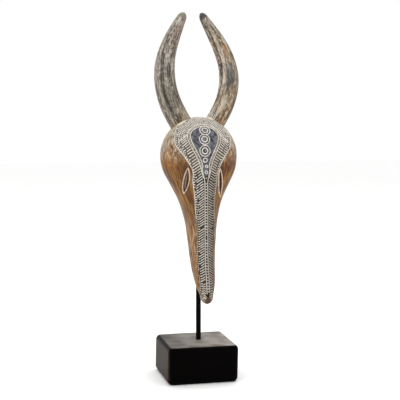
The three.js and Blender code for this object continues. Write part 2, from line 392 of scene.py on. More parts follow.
def uneven(tree, places, width, detail=3.0, roughness=0.55, stretch=(1, 1, 1)):
    """An uneven pattern over places in millimetres, with features this many millimetres wide."""
    shaped = add_node(tree, "ShaderNodeMapping", {"Scale": tuple(s / width for s in stretch)}, {0: places})
    settings = {"Scale": 1.0, "Detail": detail, "Roughness": roughness}
    return add_node(tree, "ShaderNodeTexNoise", settings, {"Vector": shaped.outputs[0]}).outputs[0]


def stained(tree, colour, tone, share, *areas):
    """Lays a tone over a colour, covering this share of it where all the areas are full. Each area
    is a mask, or a pattern with the level at which it starts and the one at which it is full."""
    cover = share
    for area in areas:
        if isinstance(area, tuple):
            pattern, start, full = area
            area = add_node(tree, "ShaderNodeMapRange", {1: start, 2: full}, {0: pattern}).outputs[0]
        cover = add_node(tree, "ShaderNodeMath", {"operation": "MULTIPLY"}, {0: area, 1: cover}).outputs[0]
    laid = add_node(tree, "ShaderNodeMix", {"data_type": "RGBA"}, {0: cover, 6: colour, 7: tone})
    return laid.outputs[2]


def spot(tree, place, centre, size):
    """An area round a centre in millimetres that ends at the size, given along each axis."""
    away = add_node(tree, "ShaderNodeVectorMath", {"operation": "SUBTRACT", 1: centre}, {0: place})
    share = add_node(tree, "ShaderNodeVectorMath", {"operation": "DIVIDE", 1: size}, {0: away.outputs[0]})
    far = add_node(tree, "ShaderNodeVectorMath", {"operation": "LENGTH"}, {0: share.outputs[0]})
    return far.outputs["Value"], 1.0, 0.4


def coated(tree, shader, colour, roughness, specular, relief=None):
    """Gives a surface its colour, roughness and gloss, and its relief: a pattern, the strength of
    its shading and its depth in millimetres."""
    feed(tree, shader.inputs["Base Color"], colour)
    feed(tree, shader.inputs["Roughness"], roughness)
    shader.inputs["Specular IOR Level"].default_value = specular
    if relief:
        pattern, strength, depth = relief
        settings = {"Strength": strength, "Distance": depth * MM}
        bump = add_node(tree, "ShaderNodeBump", settings, {"Height": pattern})
        tree.links.new(bump.outputs[0], shader.inputs["Normal"])


def head_material():
    """Carved softwood, stained and waxed: brown with streaks that follow the form and pale dapples,
    rubbed grey at the temples. Over it lies the ground of the painted band, matt like chalk paint,
    charcoal on the snout and greyed with smeared cream on the crown."""
    material, tree, shader = new_material("stained_wood_with_charcoal_ground")
    place, (_, _, height) = on_object(tree)
    flow = add_node(tree, "ShaderNodeAttribute", {"attribute_name": "flow"}).outputs["Vector"]
    field, band, tip, nose, socket, eyeball = [
        add_node(tree, "ShaderNodeAttribute", {"attribute_name": name}).outputs["Fac"]
        for name in ("field_edge", "band_edge", "tip", "nose", "socket", "eyeball")
    ]
    streaks = uneven(tree, flow, 2.6, 4, 0.6, (1, 1, 0.11))
    fine = uneven(tree, flow, 0.9, 3, 0.6, (1, 1, 0.08))
    blotches = uneven(tree, flow, 13, 3, 0.5, (1, 1, 0.5))
    dapples = uneven(tree, flow, 3.2, 3, 0.6, (1, 1, 0.34))
    # Real wood fibres are about 0.1 mm wide. They are drawn at 0.5 mm, to show.
    fibres = uneven(tree, flow, 0.5, 3, 0.6, (1, 1, 0.03))
    colour = stained(tree, "84561F", "5C330B", 1, (blotches, 0.42, 0.58))
    colour = stained(tree, colour, "86692F", 0.8, (blotches, 0.43, 0.32))
    colour = stained(tree, colour, "A37838", 0.7, (streaks, 0.53, 0.6))
    colour = stained(tree, colour, "3F210B", 0.85, (streaks, 0.48, 0.4))
    colour = stained(tree, colour, "3F230E", 0.6, (fine, 0.54, 0.64))
    colour = stained(tree, colour, "3A2210", 0.35, (fibres, 0.5, 0.62))
    patches = uneven(tree, flow, 5, 3)
    for centre, size in RUST_SPOTS:
        rusty = spot(tree, place, centre, size)
        colour = stained(tree, colour, "74380F", 0.6, rusty, (patches, 0.42, 0.55))
    # Bleached dapples low on the cheeks, pale ones on the brow, and grey wear at the temples
    colour = stained(tree, colour, "BC9F80", 0.55, (height, 240, 205), (dapples, 0.48, 0.6))
    colour = stained(tree, colour, "C9A987", 0.75, (height, 290, 307), (dapples, 0.53, 0.62))
    wear = uneven(tree, place, 9, 4, 0.6)
    colour = stained(tree, colour, "BDB5A0", 0.85, (height, 296, 336), (wear, 0.33, 0.56))
    # The ground under the painted pattern, from the snout up, and the dark field in it
    scuffs = uneven(tree, place, 3, 4)
    ground = stained(tree, "1C1815", "3A332D", 1, (scuffs, 0.35, 0.7))
    ground = stained(tree, ground, "5C5246", 0.85, (height, 280, 292))
    ground = stained(tree, ground, "827D76", 0.7, (height, 318, 345))
    ground = stained(tree, ground, "94866F", 0.6, (height, 127, 119))
    dusty = uneven(tree, place, 4, 5, 0.65)
    field_tone = stained(tree, "27272B", "787882", 1, (dusty, 0.4, 0.68))
    ground = stained(tree, ground, field_tone, 1, (field, -0.2, 0.2))
    colour = stained(tree, colour, ground, 1, (band, -0.25, 0.25))
    colour = stained(tree, colour, "42281A", 0.9, tip)
    colour = stained(tree, colour, "170B05", 1, nose)
    # Painted shade, dark brown, in the eye hollows and beside their rims, with the eyeball painted paler in
    # it
    colour = stained(tree, colour, "2A160A", 1, socket)
    colour = stained(tree, colour, "84685A", 1, eyeball)
    gloss = add_node(tree, "ShaderNodeMapRange", {3: 0.42, 4: 0.66}, {0: streaks})
    coated(tree, shader, colour, gloss.outputs[0], 0.3, (streaks, 0.4, 0.6))
    return material


def paint_material():
    """Cream earth paint laid on thickly with a stick: matt, slightly yellowed and greyed where rubbed, so
    no two dabs look the same. It is darker low on the snout, with painted shade on the viewer's right of
    the snout."""
    material, tree, shader = new_material("cream_earth_paint_dabs")
    place, (aside, _, height) = on_object(tree)
    tone = uneven(tree, place, 5, 4, 0.6)
    rubbed = uneven(tree, place, 1.4, 2, 0.5)
    colour = stained(tree, "C3BAAC", "EAE5DC", 1, (tone, 0.35, 0.7))
    colour = stained(tree, colour, "A2978A", 0.6, (rubbed, 0.58, 0.75))
    # Darker low on the snout
    colour = stained(tree, colour, "8B7A66", 0.25, (height, 262, 238))
    # Painted shade low on the viewer's right of the snout
    colour = stained(tree, colour, "7E6E5C", 0.6, (aside, ROD_X - 1, ROD_X + 8), (height, 312, 268))
    coated(tree, shader, colour, 0.8, 0.25, (rubbed, 0.3, 0.15))
    return material


def rim_material():
    """Carved eye rims, rubbed bare and touched with pinkish cream paint, as on worn edges."""
    material, tree, shader = new_material("cream_rubbed_carved_rim")
    tone = uneven(tree, on_object(tree)[0], 3, 4, 0.6)
    colour = stained(tree, "A58A70", "D8C2AE", 1, (tone, 0.35, 0.62))
    coated(tree, shader, colour, 0.65, 0.3, (tone, 0.2, 0.3))
    return material


def horn_material(name, tones, bands, stains):
    """Weathered carved wood, rasped lengthways and rubbed with thin paint that stays in the marks:
    long broken streaks of dark and cream along the horn, with a few broad stains."""
    material, tree, shader = new_material(name)
    flow = add_node(tree, "ShaderNodeAttribute", {"attribute_name": "flow"}).outputs["Vector"]
    along, side, ridge, groove = [
        add_node(tree, "ShaderNodeAttribute", {"attribute_name": name}).outputs["Fac"]
        for name in ("along", "side", "ridge", "groove")
    ]
    streaks = uneven(tree, flow, 3.4, 4, 0.6, (1, 1, 0.12))
    fine = uneven(tree, flow, 1.3, 4, 0.6, (1, 1, 0.14))
    flecks = uneven(tree, flow, 1.8, 3, 0.55, (1, 1, 0.32))
    broad = uneven(tree, flow, 8, 3, 0.5, (1, 1, 0.3))
    breaks = uneven(tree, flow, 5, 2, 0.5, (1, 1, 0.2))

    def over(colour, areas, ragged):
        """Lays areas given as ends along the horn, left and right edges, tone and strength."""
        for low, high, left, right, tone, share in areas:
            colour = stained(
                tree, colour, tone, share, ragged,
                (along, low - 0.05, low + 0.03), (along, high + 0.05, high - 0.03),
                (side, left + 0.12, left - 0.12), (side, right - 0.12, right + 0.12))
        return colour

    colour = stained(tree, tones["mid"], tones["warm"], 1, (broad, 0.4, 0.6))
    colour = over(colour, bands, (broad, 0.3, 0.5))
    colour = stained(tree, colour, tones["pale"], 0.85, (streaks, 0.52, 0.57))
    colour = stained(tree, colour, tones["dark"], 0.9, (streaks, 0.47, 0.41))
    colour = stained(tree, colour, tones["cream"], 0.7, (flecks, 0.56, 0.62))
    colour = stained(tree, colour, tones["dark"], 0.8, (flecks, 0.44, 0.39))
    colour = stained(tree, colour, tones["dark"], 0.6, (fine, 0.45, 0.38))
    colour = over(colour, stains, (fine, 0.4, 0.52))
    colour = stained(tree, colour, tones["cream"], tones["ridge"], ridge, (breaks, 0.4, 0.5))
    colour = stained(tree, colour, tones["groove"], 0.92, groove)
    colour = stained(tree, colour, tones["tip"], 0.9, (along, 0.935, 0.955))
    coated(tree, shader, colour, 0.62, 0.35, (streaks, 0.6, 0.8))
    return material


def filler_material():
    """Gesso-like filler pressed into the horn's joint and wiped: chalky cream where it is fresh, and
    stained brown with the wood where it was rubbed thin."""
    material, tree, shader = new_material("wiped_cream_filler")
    fresh = add_node(tree, "ShaderNodeAttribute", {"attribute_name": "fresh"}).outputs["Fac"]
    tone = uneven(tree, on_object(tree)[0], 2.5, 4, 0.6)
    browned = stained(tree, "6F5638", "A08A68", 1, (tone, 0.35, 0.65))
    cream = stained(tree, "CFC3A4", "EFE8D6", 1, (tone, 0.35, 0.6))
    colour = stained(tree, browned, cream, 1, fresh)
    coated(tree, shader, colour, 0.85, 0.2, (tone, 0.4, 0.5))
    return material


def black_wood_material():
    """A close-grained wood block painted black and rubbed with wax: nearly black face on, with the
    pale studio's reflection painted in: a brown on the left face, and a grey on top that fades
    towards the left."""
    material, tree, shader = new_material("waxed_black_painted_wood")
    place, (aside, _, height) = on_object(tree)
    # The real grain is about 0.5 mm wide. It is drawn at 1.6 mm, to show.
    grain = uneven(tree, place, 1.6, 4, 0.6, (0.12, 1, 1))
    sheen_clouds = uneven(tree, place, 12, 4, 0.6)
    clouds = uneven(tree, place, 24, 3, 0.5)
    left_face = (aside, block_low[0] + 3, block_low[0] + 1)
    top_face = (height, BLOCK_TOP - 1, BLOCK_TOP - 0.3)
    colour = stained(tree, "010000", "040302", 1, (grain, 0.4, 0.7))
    # Painted reflection on the left face: the pale studio seen in the wax, brown in clouds
    colour = stained(tree, colour, "4A3B31", 0.8, left_face, (sheen_clouds, 0.3, 0.7))
    # Painted reflection on top: the pale studio seen in the wax, grey in clouds, fading towards the left
    reflection_fading_left = add_node(tree, "ShaderNodeMapRange", {1: -45, 2: 25, 3: 0.42, 4: 1.0}, {0: aside})
    painted_top_reflection = stained(tree, "6C655E", "97908A", 1, (clouds, 0.36, 0.62))
    colour = stained(tree, colour, painted_top_reflection, 1, top_face, reflection_fading_left.outputs[0])
    wax = add_node(tree, "ShaderNodeMath", {"operation": "ADD"}, {0: grain, 1: sheen_clouds})
    gloss = add_node(tree, "ShaderNodeMapRange", {1: 0.7, 2: 1.3, 3: 0.32, 4: 0.5}, {0: wax.outputs[0]})
    coated(tree, shader, colour, gloss.outputs[0], 0.022, (grain, 0.12, 0.25))
    return material


def black_rod_material():
    """Steel rod brushed with satin black paint: dark, with a thin soft highlight and slight ripple."""
    material, tree, shader = new_material("brushed_on_black_paint_on_steel")
    ripple = uneven(tree, on_object(tree)[0], 4, 3, 0.5, (1, 1, 0.4))
    colour = stained(tree, "030303", "0B0A0A", 1, (ripple, 0.4, 0.7))
    gloss = add_node(tree, "ShaderNodeMapRange", {3: 0.4, 4: 0.6}, {0: ripple})
    coated(tree, shader, colour, gloss.outputs[0], 0.03, (ripple, 0.2, 0.3))
    return material


def floor_material():
    """Seamless matt studio paper, almost white."""
    material, tree, shader = new_material("matt_studio_paper")
    tone = uneven(tree, on_object(tree)[0], 60, 2)
    coated(tree, shader, stained(tree, "FCFCFB", "FDFDFD", 1, tone), 0.9, 0.1)
    return material


# Head


def eye_share(eye, across, up):
    """How far across and along an eye's almond a place on the face is, 1 at its edge."""
    offset, z, half_height, half_width, lean = eye
    along = (up - z) / half_height
    width = half_width * np.clip(1 - along**2, 1e-4, 1)
    side = (across - offset + lean * along * half_height) / width
    return side, along


def carved_eyes(across, up, front):
    """How deep the eyes are cut, and the shares of the painted shade in and round their hollows
    and of their paler eyeballs.
    """
    sunk, socket, eyeball = np.zeros((3, *across.shape))
    for eye in EYES:
        side, along = eye_share(eye, across, up)
        inside = (np.abs(side) < 1) & (np.abs(along) < 1) & front
        ball = EYEBALL_BULGE * (1 - side**2) * (1 - along**2)
        sunk += inside * (EYE_DEPTH * (1 - along**6) - ball)
        # Within the painted shade of the hollow, the eyeball is painted paler a little to the viewer's left
        # of its middle.
        bare = smooth(0.6, 0.3, np.abs(side + 0.45)) * smooth(0.95, 0.6, np.abs(along - 0.1))
        eyeball = np.maximum(eyeball, inside * bare)
        # A band of painted shade runs outside the rim, mostly on the viewer's left.
        groove = smooth(2.0, 1.45, np.abs(side)) * smooth(1.05, 0.85, np.abs(along)) * front
        groove = np.where(side < 0, 0.8, 0.45) * groove * (1 - inside)
        # The whole hollow inside the rim is painted shade as well.
        socket = np.maximum(socket, np.maximum(inside * 1.0, groove))
    return sunk, socket, eyeball


def nose_mark(across, rise, far, half_width):
    """1 along a stained line from the notch's foot to its far end, fading past its half width."""
    reach = far[0] ** 2 + far[1] ** 2
    share = np.clip((across * far[0] + rise * far[1]) / reach, 0, 1)
    away = np.hypot(across - share * far[0], rise - share * far[1])
    return smooth(half_width + 0.4, half_width - 0.3, away)


def notch_depth(across, up):
    """Share of the depth of the nose's forked notch."""
    depth = np.zeros(np.shape(across))
    for side in (-1, 1):
        reach = NOTCH_LENGTH / 2 - NOTCH_WIDTH / 2
        x = across - side * math.sin(NOTCH_SPREAD) * reach
        y = up - NOTCH_Z - math.cos(NOTCH_SPREAD) * reach
        run = x * math.sin(side * NOTCH_SPREAD) + y * math.cos(NOTCH_SPREAD)
        wide = x * math.cos(NOTCH_SPREAD) - y * math.sin(side * NOTCH_SPREAD)
        share = (run / (NOTCH_LENGTH / 2)) ** 2 + (wide / (NOTCH_WIDTH / 2)) ** 2
        depth = np.maximum(depth, np.sqrt(np.clip(1 - share, 0, 1)))
    return depth


def nose_stains(across, up, front):
    """The dark stain of the forked notch, and the bare brown patch under it."""
    aside = across - NOSE_MIDDLE
    rise = up - NOTCH_Z
    nose = np.zeros_like(across)
    for far, half_width in NOSE_MARKS:
        nose = np.maximum(nose, nose_mark(aside, rise, far, half_width) * front)
    away = np.hypot(aside / BARE_TIP_SLENDERNESS, rise + BARE_TIP_DROP)
    return nose, smooth(5.8, 3.8, away) * front


def paint_edges(across, up, front):
    """How far inside the painted band and the dark field a place lies, cut off at 6 mm."""
    aside = across - PATTERN_MIDDLE
    band = band_half(up, np.sign(aside)) - np.abs(aside)
    field = field_half(up) - FIELD_INSET - np.abs(aside)
    in_field = (up <= FIELD_CENTRE + FIELD_TOP) & (up >= FIELD_FOOT) & front
    return np.clip(np.where(front, band, -6), -6, 6), np.clip(np.where(in_field, field, -6), -6, 6)


def head_turns(front_columns=216, back_columns=72):
    """The turns of a ring's points, closer together on the face than on the back."""
    front = np.linspace(math.pi, 2 * math.pi, front_columns, endpoint=False)
    back = np.linspace(0, math.pi, back_columns, endpoint=False)
    return np.concatenate([front, back])


def head_heights(tip_rings=26, level_rings=236, dome_rings=64):
    tip = NOSE - (NOSE - SNOUT_TIP) * np.cos(np.linspace(0, math.pi / 2, tip_rings + 1)[1:])
    levels = np.linspace(NOSE, WIDEST, level_rings + 1)[1:]
    dome = WIDEST + (CROWN - WIDEST) * np.sin(np.linspace(0, math.pi / 2, dome_rings + 1)[1:-1])
    return np.concatenate([tip, levels, dome])


def signed_power(value, power):
    return np.sign(value) * np.abs(value) ** power


def eye_rim(eye, steps=150, sides=10):
    """Points and faces of the raised rim round an eye, a rounded bead that follows the face."""
    turn = np.linspace(0, 2 * math.pi, steps, endpoint=False)
    along = -np.cos(turn)
    offset, z, half_height, half_width, lean = eye
    # A little room at the pointed ends keeps the two sides of the bead apart.
    across = np.sin(turn) * (half_width + RIM_RADIUS / 2) * np.sqrt(np.clip(1 - along**2, 0, 1)) ** 0.7
    up = z + along * (half_height + RIM_RADIUS / 2)
    x = offset + across - lean * along * half_height
    centre = face_at(x, up)
    normal = face_normal(x, up)
    tangent = np.roll(centre, -1, 0) - np.roll(centre, 1, 0)
    tangent /= np.linalg.norm(tangent, axis=1, keepdims=True)
    sideways = np.cross(normal, tangent)
    rings = []
    swell = RIM_RADIUS * (1 + 0.12 * np.sin(3 * turn + 1) + 0.08 * np.sin(7 * turn))
    for k in range(sides):
        a = 2 * math.pi * k / sides
        rings.append(centre + swell[:, None] * (math.cos(a) * sideways + math.sin(a) * normal))
    points = np.stack(rings, 1).reshape(-1, 3)
    return points, grid_faces(steps, sides, closed_rows=True)


def both_rims(start):
    """Points and faces of the two eye rims, for a mesh that already has this many points."""
    points, faces = [], []
    for eye in EYES:
        more, shell = eye_rim(eye)
        faces += [tuple(start + i for i in face) for face in shell]
        points.append(more)
        start += len(more)
    return np.concatenate(points), faces


def make_head(material, rims):
    z = head_heights()
    turns = head_turns()
    half, depth, middle, squareness = [a[:, None] for a in head_section(z)]
    power = 2 / squareness
    across = half * signed_power(np.cos(turns), power)
    y = middle + depth * signed_power(np.sin(turns), power)
    up = np.repeat(z[:, None], len(turns), 1)
    points = np.stack([ROD_X + across, y, up], -1)
    # Face height goes on over the crown as an angle.
    over = np.arctan2((up - WIDEST) / (CROWN - WIDEST), (middle - y) / depth[z.searchsorted(WIDEST)])
    face_up = np.where(up > WIDEST, WIDEST + CROWN_ARC * over, up)
    front = (y < middle) | (up > WIDEST)
    normal = np.cross(np.roll(points, -1, 1) - np.roll(points, 1, 1), np.gradient(points, axis=0))
    normal /= np.maximum(np.linalg.norm(normal, axis=-1, keepdims=True), 1e-9)
    sunk, socket, eyeball = carved_eyes(across, face_up, front)
    sunk += 0.9 * NOTCH_DEPTH * notch_depth(across, face_up) * front
    uneven = waves(points.reshape(-1, 3), 22, 3).reshape(across.shape)
    sunk += (PAINT_DEPTH + CARVING_WAVE * uneven) * (1 - socket)
    points = points - normal * sunk[..., None]
    tip = np.array([ROD_X, head_section(SNOUT_TIP)[2], SNOUT_TIP])
    crown = np.array([ROD_X, head_section(CROWN)[2], CROWN])
    body, faces = loft(list(points), tip, crown)
    rim_points, rim_faces = both_rims(len(body))
    piece = make_object("carved_head", np.concatenate([body, rim_points]), faces + rim_faces)
    band, field = paint_edges(across, face_up, front)
    nose, bare_tip = nose_stains(across, face_up, front)
    for name, values, ends in (
        ("band_edge", band, (-6, 6)),
        ("field_edge", field, (-6, -6)),
        ("socket", socket, (0, 0)),
        ("eyeball", eyeball, (0, 0)),
        ("nose", nose, (0, 0)),
        ("tip", bare_tip, (0, 0)),
    ):
        add_attribute(piece, name, np.concatenate([values.ravel(), ends, np.zeros(len(rim_points))]))
    # The grain follows the form: the turn round the head at one size, and the height.
    flow = np.stack([FLOW_SIZE * np.cos(turns) + 0 * up, FLOW_SIZE * np.sin(turns) + 0 * up, up], -1)
    ends = np.array([(0, 0, SNOUT_TIP), (0, 0, CROWN)])
    flow = np.concatenate([flow.reshape(-1, 3), ends, rim_points])
    add_attribute(piece, "flow", flow, "FLOAT_VECTOR")
    finish_piece(piece, material, "head")
    piece.data.materials.append(rims)
    kinds = np.zeros(len(piece.data.polygons), np.int32)
    kinds[len(faces) :] = 1
    piece.data.polygons.foreach_set("material_index", kinds)
    return piece


# Painted pattern


def on_face(places, lift=0.0):
    """Points and outward directions for places given as (across, up)."""
    places = np.asarray(places, float)
    normal = face_normal(places[:, 0], places[:, 1])
    return face_at(places[:, 0], places[:, 1]) + lift * normal, normal


def near_horn(point):
    """True under a horn's foot, where no paint shows."""
    for horn in HORNS.values():
        start, rise = [horn_point(horn, p) for p in HORN_CURVE[:2]]
        way = (rise - start) / np.linalg.norm(rise - start)
        away = point - start
        if np.linalg.norm(away - away @ way * way) < horn["thickness"] / 2 - 0.5:
            return True
    return False


def in_eye(across, up):
    for eye in EYES:
        side, along = eye_share(eye, across, up)
        if abs(side) < 1.3 and abs(along) < 1.05:
            return True
    return False


def guide_mesh(name, lines, lift):
    """Polylines on the head as a mesh that carries each point's outward direction."""
    points, edges, outward = [], [], []
    for places, closed in lines:
        start = len(points)
        on, normal = on_face(places, lift)
        points += list(on)
        outward += list(normal)
        edges += [(start + i, start + i + 1) for i in range(len(on) - 1)]
        if closed:
            edges.append((start + len(on) - 1, start))
    mesh = bpy.data.meshes.new(name)
    mesh.from_pydata((np.array(points) * MM).tolist(), edges, [])
    guide = bpy.data.objects.new(name, mesh)
    bpy.context.scene.collection.objects.link(guide)
    add_attribute(guide, "outward", outward, "FLOAT_VECTOR")
    return guide


def tree_socket(tree, name, kind, value=None, output=False):
    way = "OUTPUT" if output else "INPUT"
    made = tree.interface.new_socket(name=name, in_out=way, socket_type=kind)
    if value is not None:
        made.default_value = value
    return made.identifier


def dab_tree():
    """Lays a small domed dab of paint at every pitch along guide lines, turned to the surface."""
    tree = bpy.data.node_groups.new("paint_dabs_along_guides", "GeometryNodeTree")
    ids = {"Geometry": tree_socket(tree, "Geometry", "NodeSocketGeometry")}
    for name, value in (("Pitch", 0.0019), ("Length", 0.002), ("Width", 0.001), ("Thickness", 0.0003)):
        ids[name] = tree_socket(tree, name, "NodeSocketFloat", value)
    ids["Missing"] = tree_socket(tree, "Missing", "NodeSocketFloat", 0.03)
    ids["Seed"] = tree_socket(tree, "Seed", "NodeSocketInt", 1)
    ids["Paint"] = tree_socket(tree, "Paint", "NodeSocketMaterial")
    tree_socket(tree, "Geometry", "NodeSocketGeometry", output=True)
    given = add_node(tree, "NodeGroupInput").outputs
    curve = add_node(tree, "GeometryNodeMeshToCurve", None, {0: given["Geometry"]})
    spots = add_node(tree, "GeometryNodeCurveToPoints", {"mode": "LENGTH"},
                     {"Curve": curve.outputs[0], "Length": given["Pitch"]})
    lost = add_node(tree, "FunctionNodeRandomValue", {"data_type": "BOOLEAN"},
                    {"Probability": given["Missing"], "Seed": given["Seed"]})
    turned = add_node(tree, "GeometryNodeStoreNamedAttribute",
                      {"data_type": "FLOAT_VECTOR", "domain": "POINT", "Name": "way"},
                      {"Geometry": spots.outputs["Points"], "Value": spots.outputs["Tangent"]})
    kept = add_node(tree, "GeometryNodeDeleteGeometry", {"domain": "POINT"},
                    {"Geometry": turned.outputs[0], "Selection": lost.outputs[3]})
    outward, tangent = [
        add_node(tree, "GeometryNodeInputNamedAttribute", {"data_type": "FLOAT_VECTOR", "Name": name})
        for name in ("outward", "way")
    ]
    turn = add_node(tree, "FunctionNodeAxesToRotation", {"primary_axis": "Z", "secondary_axis": "X"},
                    {0: outward.outputs[0], 1: tangent.outputs[0]})
    half = []
    for name in ("Length", "Width", "Thickness"):
        share = 1.0 if name == "Thickness" else 0.5
        half.append(add_node(tree, "ShaderNodeMath", {"operation": "MULTIPLY", 1: share},
                             {0: given[name]}).outputs[0])
    size = add_node(tree, "ShaderNodeCombineXYZ", None, dict(enumerate(half)))
    ball = add_node(tree, "GeometryNodeMeshUVSphere", {"Segments": 8, "Rings": 4, "Radius": 1.0})
    dab = add_node(tree, "GeometryNodeTransform", None,
                   {"Geometry": ball.outputs[0], "Scale": size.outputs[0]})
    vary = add_node(tree, "FunctionNodeRandomValue", {"data_type": "FLOAT_VECTOR",
                    0: (0.78, 0.8, 0.8), 1: (1.12, 1.2, 1.2)}, {"Seed": given["Seed"]})
    laid = add_node(tree, "GeometryNodeInstanceOnPoints", None,
                    {"Points": kept.outputs[0], "Instance": dab.outputs[0],
                     "Rotation": turn.outputs[0], "Scale": vary.outputs[0]})
    real = add_node(tree, "GeometryNodeRealizeInstances", None, {0: laid.outputs[0]})
    soft = add_node(tree, "GeometryNodeSetShadeSmooth", None, {0: real.outputs[0]})
    painted = add_node(tree, "GeometryNodeSetMaterial", None,
                       {"Geometry": soft.outputs[0], "Material": given["Paint"]})
    add_node(tree, "NodeGroupOutput", None, {0: painted.outputs[0]})
    return tree, ids


def line_tree():
    """Sweeps an uneven bead of paint along guide lines."""
    tree = bpy.data.node_groups.new("paint_lines_along_guides", "GeometryNodeTree")
    ids = {"Geometry": tree_socket(tree, "Geometry", "NodeSocketGeometry")}
    for name, value in (("Radius", 0.0005), ("Step", 0.0008), ("Unevenness", 0.3)):
        ids[name] = tree_socket(tree, name, "NodeSocketFloat", value)
    ids["Paint"] = tree_socket(tree, "Paint", "NodeSocketMaterial")
    tree_socket(tree, "Geometry", "NodeSocketGeometry", output=True)
    given = add_node(tree, "NodeGroupInput").outputs
    curve = add_node(tree, "GeometryNodeMeshToCurve", None, {0: given["Geometry"]})
    even = add_node(tree, "GeometryNodeResampleCurve", {"mode": "LENGTH"},
                    {"Curve": curve.outputs[0], "Length": given["Step"]})
    wobble = add_node(tree, "ShaderNodeTexNoise", {"Scale": 420.0, "Detail": 2.0})
    spread = add_node(tree, "ShaderNodeMath", {"operation": "MULTIPLY_ADD", 2: 1.0},
                      {0: wobble.outputs[0], 1: given["Unevenness"]})
    bead = add_node(tree, "GeometryNodeCurvePrimitiveCircle", {"Resolution": 8},
                    {"Radius": given["Radius"]})
    swept = add_node(tree, "GeometryNodeCurveToMesh", {"Fill Caps": True},
                     {"Curve": even.outputs[0], "Profile Curve": bead.outputs[0],
                      "Scale": spread.outputs[0]})
    soft = add_node(tree, "GeometryNodeSetShadeSmooth", None, {0: swept.outputs[0]})
    real = add_node(tree, "GeometryNodeRealizeInstances", None, {0: soft.outputs[0]})
    painted = add_node(tree, "GeometryNodeSetMaterial", None,
                       {"Geometry": real.outputs[0], "Material": given["Paint"]})
    add_node(tree, "NodeGroupOutput", None, {0: painted.outputs[0]})
    return tree, ids


def grown_piece(name, guide, tree, ids, values):
    """Runs a node tree on a guide and keeps the result as a plain mesh piece on the head."""
    modifier = guide.modifiers.new("grow", "NODES")
    modifier.node_group = tree
    for key, value in values.items():
        modifier[ids[key]] = value
    guide.update_tag()
    graph = bpy.context.evaluated_depsgraph_get()
    graph.update()
    mesh = bpy.data.meshes.new_from_object(guide.evaluated_get(graph))
    mesh.name = name
    guide.modifiers.clear()
    bpy.data.objects.remove(guide)
    piece = bpy.data.objects.new(name, mesh)
    bpy.context.scene.collection.objects.link(piece)
    return finish_piece(piece, values["Paint"])


def side_strokes(side):
    """Slanting strokes from the middle lines out to the band's border, broken here and there."""
    strokes = []
    up = STROKES_FOOT - 1.0
    while up < ROWS_TOP:
        inner = max(float(field_half(up) + border_gap(up)), float(middle_half(up))) + 1.3
        turned = float(smooth(142, 124, up))
        slant = STROKE_SLANT + (TIP_SLANT - STROKE_SLANT) * turned + RNG.normal(0, 0.03)
        places = []
        for run in np.arange(0, 44, STROKE_STEP):
            across = inner + run * math.cos(slant)
            height = up - run * math.sin(slant)
            if across > float(band_half(height, side)) - BORDER_WIDTH or height < STROKES_FOOT:
                break
            if not in_eye(PATTERN_MIDDLE + side * across, height):
                places.append((PATTERN_MIDDLE + side * across, height))
        while len(places) > 3:
            count = int(RNG.uniform(11, 26))
            if RNG.uniform() > 0.015:
                strokes.append((places[:count], False))
            places = places[count + 2 :]
        up += STROKE_PITCH * RNG.uniform(0.95, 1.05)
    return strokes


def crown_rows():
    """Rings of short strokes round the field's top, over the crown to the horns' feet."""
    rows = []
    for ring in range(16):
        grow = LINE_GAP + 1.9 + CROWN_ROW_PITCH * ring
        places = []
        for turn in np.linspace(-1.0, math.pi + 1.0, 300):
            tall = FIELD_TOP if 0 < turn < math.pi else FIELD_WIDEST
            across = (FIELD_WIDEST + grow) * math.cos(turn)
            height = FIELD_CENTRE + (tall + grow) * math.sin(turn)
            spot_on_face = face_at(PATTERN_MIDDLE + across, height)
            rows_below = ROWS_TOP + 1 - (abs(across) - FIELD_WIDEST) * math.tan(STROKE_SLANT)
            inside = abs(across) < float(band_half(height)) - BORDER_WIDTH and height > rows_below
            if inside and not near_horn(spot_on_face):
                places.append((PATTERN_MIDDLE + across, height))
                continue
            rows.append(places)
            places = []
        rows.append(places)
    return [(places, False) for places in rows if len(places) > 2]


def edge_places(way, inset, up):
    """Places along one side of the band, this far in from its outline."""
    half = np.maximum(band_half(up, way) - inset, 0.1)
    return list(zip(PATTERN_MIDDLE + way * half, up))


def edge_line(inset, low):
    """A line along the band's outline: up one side, over the crown and down the other."""
    side = np.linspace(low, BAND_ARCH_FOOT, 420)
    arch = BAND_ARCH_FOOT + (BAND_ARCH - 0.3) * np.sin(np.linspace(0, math.pi / 2, 60))[1:]
    up = np.concatenate([side, arch])
    return without_feet(edge_places(-1, inset, up) + edge_places(1, inset, up)[::-1])


def edge_sides(inset, low, high):
    """Only the two sides of such a line, between two heights."""
    up = np.linspace(low, high, 240)
    return [(edge_places(way, inset, up), False) for way in (-1, 1)]


def without_feet(places):
    """Cuts a line where it passes under a horn's foot."""
    runs = [[]]
    for place in places:
        if near_horn(face_at(*place)):
            runs.append([])
        else:
            runs[-1].append(place)
    return [(run, False) for run in runs if len(run) > 2]


def field_lines(gap, low):
    """A line round the dark field, this far outside its edge, starting at face height low."""
    side = np.linspace(low, FIELD_CENTRE, 300)
    arch = FIELD_CENTRE + (FIELD_TOP + gap) * np.sin(np.linspace(0, math.pi / 2, 60))[1:]
    share = np.sqrt(np.clip(1 - ((arch - FIELD_CENTRE) / (FIELD_TOP + gap)) ** 2, 0, 1))
    beside = field_half(side) + gap * smooth(268, 300, side)
    half = np.concatenate([beside, (FIELD_WIDEST + gap) * share])
    up = np.concatenate([side, arch])
    left = list(zip(PATTERN_MIDDLE - half, up))
    right = list(zip(PATTERN_MIDDLE + half, up))[::-1]
    return left + right[1:]


def circle(across, up, radius, steps=40):
    turns = np.linspace(0, 2 * math.pi, steps, endpoint=False)
    return [(across + radius * math.cos(t), up + radius * math.sin(t)) for t in turns]


def middle_line(side, low, high=290):
    up = np.linspace(low, high, 240)
    return list(zip(PATTERN_MIDDLE + side * middle_half(up), up))


